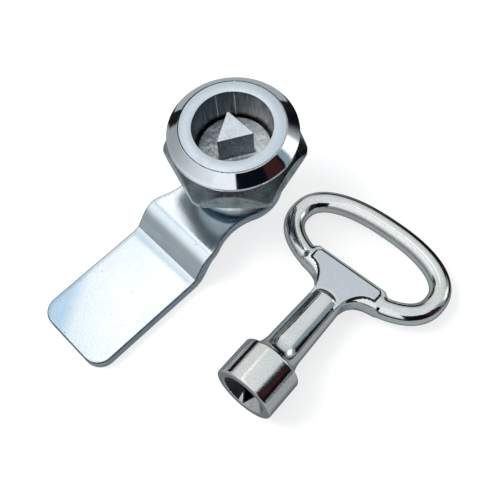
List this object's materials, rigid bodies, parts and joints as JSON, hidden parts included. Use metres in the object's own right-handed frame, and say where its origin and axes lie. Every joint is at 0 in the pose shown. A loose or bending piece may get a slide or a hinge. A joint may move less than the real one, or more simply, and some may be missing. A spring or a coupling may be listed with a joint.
{
  "type": "cam lock",
  "caption": "Round quarter-turn cabinet cam lock with a recessed triangular drive, hexagon nut and cranked cam, with its loop-handled triangular socket key beside it.",
  "frame": {"origin": "on the lock's axis, at the outer face of the cam bolt's head, which is the plane that the lock, its cam blade and the key rest on", "axes": "+Z along the lock's axis out of its front face; -Y along the cam in the locked position; +X towards the key"},
  "size_m": [0.0697, 0.0728, 0.03],
  "materials": {
    "bright_chrome": "polished",
    "black_rubber": "matte",
    "dull_zinc": "satin",
    "cast_zinc": "as cast",
    "seal_rubber": "matte",
    "washer_steel": "satin",
    "blue_zinc": "bright zinc",
    "spring_steel": "satin",
    "bolt_zinc": "bright zinc",
    "cast_nickel": "polished casting"
  },
  "bodies": {
    "lock_body": {"housing": "bright_chrome"},
    "gasket_ring": {"panel_gasket": "black_rubber"},
    "nut": {"mounting_nut": "dull_zinc"},
    "rotor_set": {"rotor": "cast_zinc", "rotor_seal": "seal_rubber", "stop_washer": "washer_steel", "cam": "blue_zinc", "spring_washer": "spring_steel", "cam_bolt": "bolt_zinc"},
    "key": {"triangle_key": "cast_nickel"}
  },
  "joints": [
    {"name": "cam_turn", "type": "hinge", "parent": "lock_body", "child": "rotor_set", "pos_m": [0, 0, 0.01], "axis": [0, 0, 1], "range_deg": [-90, 0]},
    {"name": "gasket_slide", "type": "slide", "parent": "lock_body", "child": "gasket_ring", "axis": [0, 0, 1], "range_m": [-0.009, 0]},
    {"name": "nut_spin", "type": "hinge", "parent": "gasket_ring", "child": "nut", "pos_m": [0, 0, 0.023], "axis": [0, 0, 1], "range_deg": [-2160, 0]},
    {"name": "key_lift", "type": "slide", "parent": "lock_body", "child": "key", "axis": [0.7071, 0, 0.7071], "range_m": [0, 0.05]}
  ],
  "couplings": [
    {"joint": "gasket_slide", "follows": "nut_spin", "m_per_rad": 0.00023873}
  ]
}
